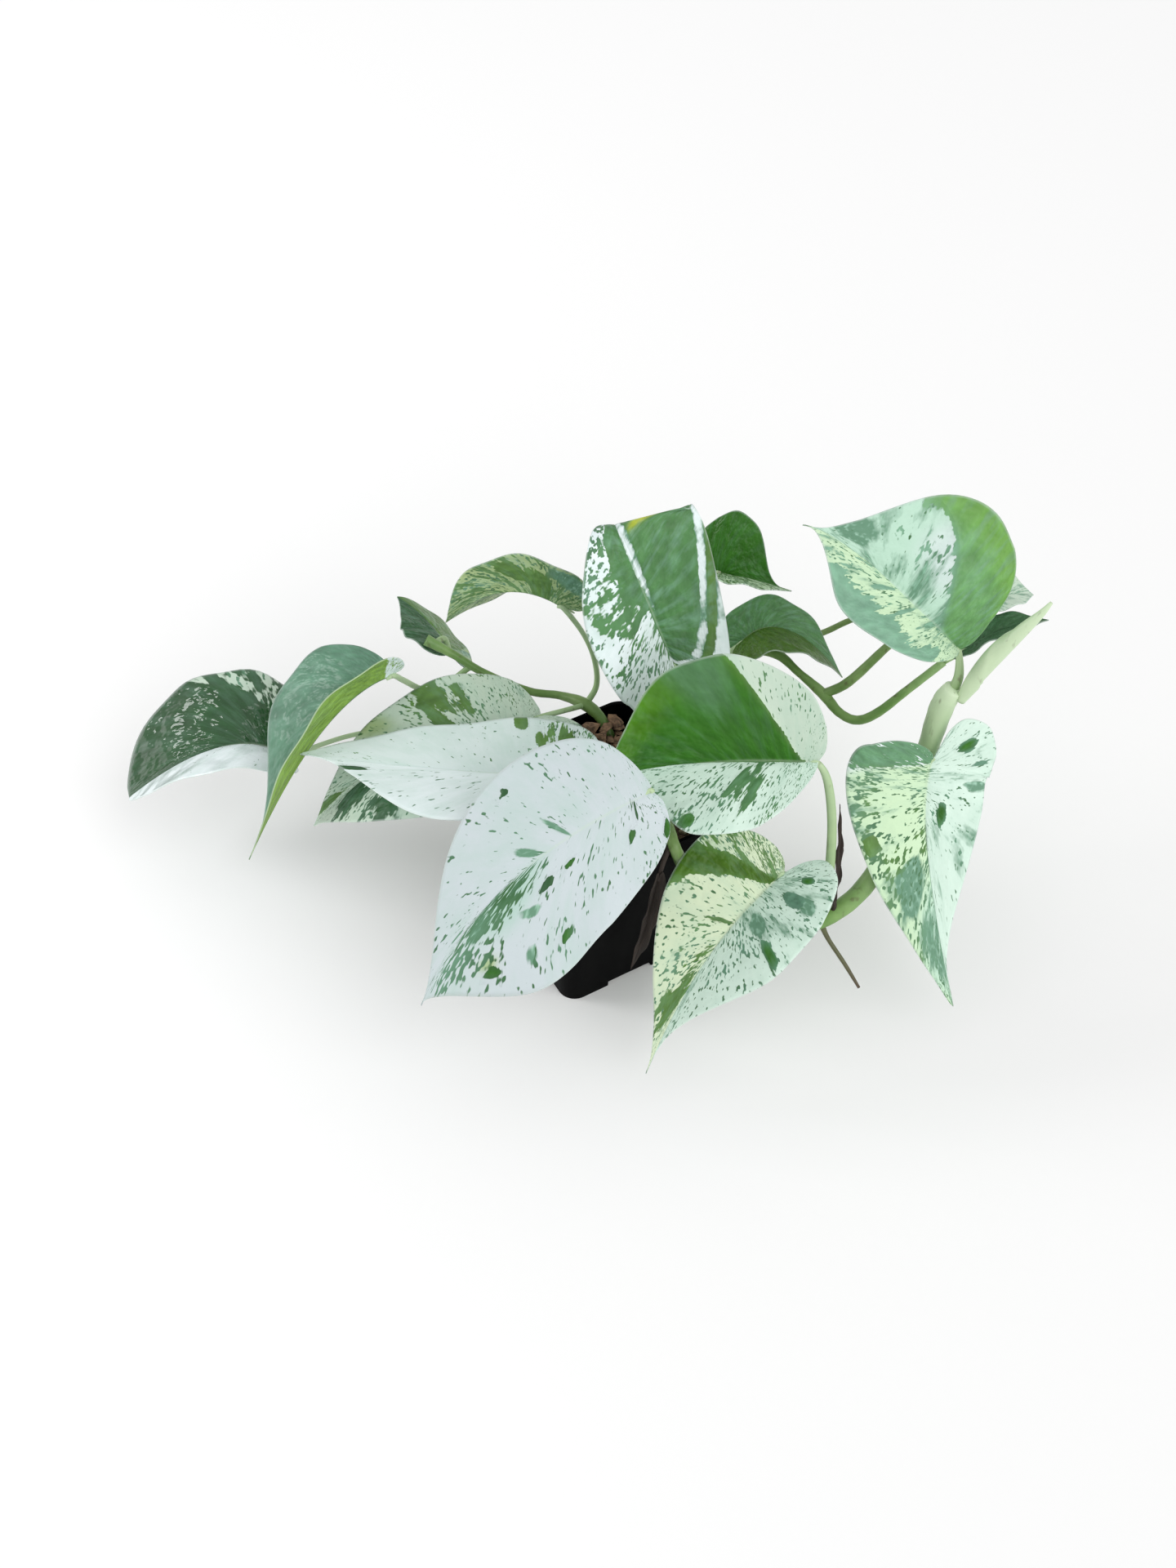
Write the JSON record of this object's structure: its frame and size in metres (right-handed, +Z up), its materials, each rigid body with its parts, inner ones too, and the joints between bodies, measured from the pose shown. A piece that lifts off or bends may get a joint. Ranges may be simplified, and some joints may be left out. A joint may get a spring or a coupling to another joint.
{
  "type": "potted marble queen pothos",
  "caption": "Young marble queen pothos with green, cream and white marbled heart-shaped leaves trailing from a square black nursery pot.",
  "frame": {"origin": "centre of the pot's underside, on the surface it stands on", "axes": "+Z up, +X to the right and -Y to the front, as in the picture; the pot is turned 30 degrees about +Z"},
  "size_m": [0.4392, 0.2135, 0.2319],
  "materials": {
    "pot_plastic": "black moulded plastic, slightly dusty",
    "soil": "dark bark potting mix with pale pebbles",
    "stem": "smooth green stem with tan streaks",
    "leaf_white": "waxy, white with green marbling",
    "leaf_marbled": "waxy, green and cream marbling",
    "leaf_green": "waxy, mostly dark green",
    "dried_sheath": "dry, tan and fibrous"
  },
  "bodies": {
    "root": {"pot": "pot_plastic", "soil": "soil", "stem_front": "stem", "stem_left": "stem", "stem_back": "stem", "stem_centre": "stem", "leaf_low_left": "leaf_white", "leaf_white_left": "leaf_white", "leaf_white_front": "leaf_white", "leaf_lower_right": "leaf_white", "leaf_lower_centre": "leaf_white", "leaf_far_right_pale": "leaf_white", "leaf_back_left": "leaf_green", "leaf_back_cup": "leaf_green", "leaf_back_dark": "leaf_green", "leaf_far_right_dark": "leaf_green", "leaf_far_left": "leaf_marbled", "leaf_folded_left": "leaf_marbled", "leaf_small_back": "leaf_marbled", "leaf_green_centre": "leaf_marbled", "leaf_arched_back": "leaf_marbled", "leaf_upper_right": "leaf_marbled", "leaf_furled_new": "leaf_marbled", "dried_sheath_front": "dried_sheath", "dried_sheath_right": "dried_sheath"}
  },
  "joints": []
}
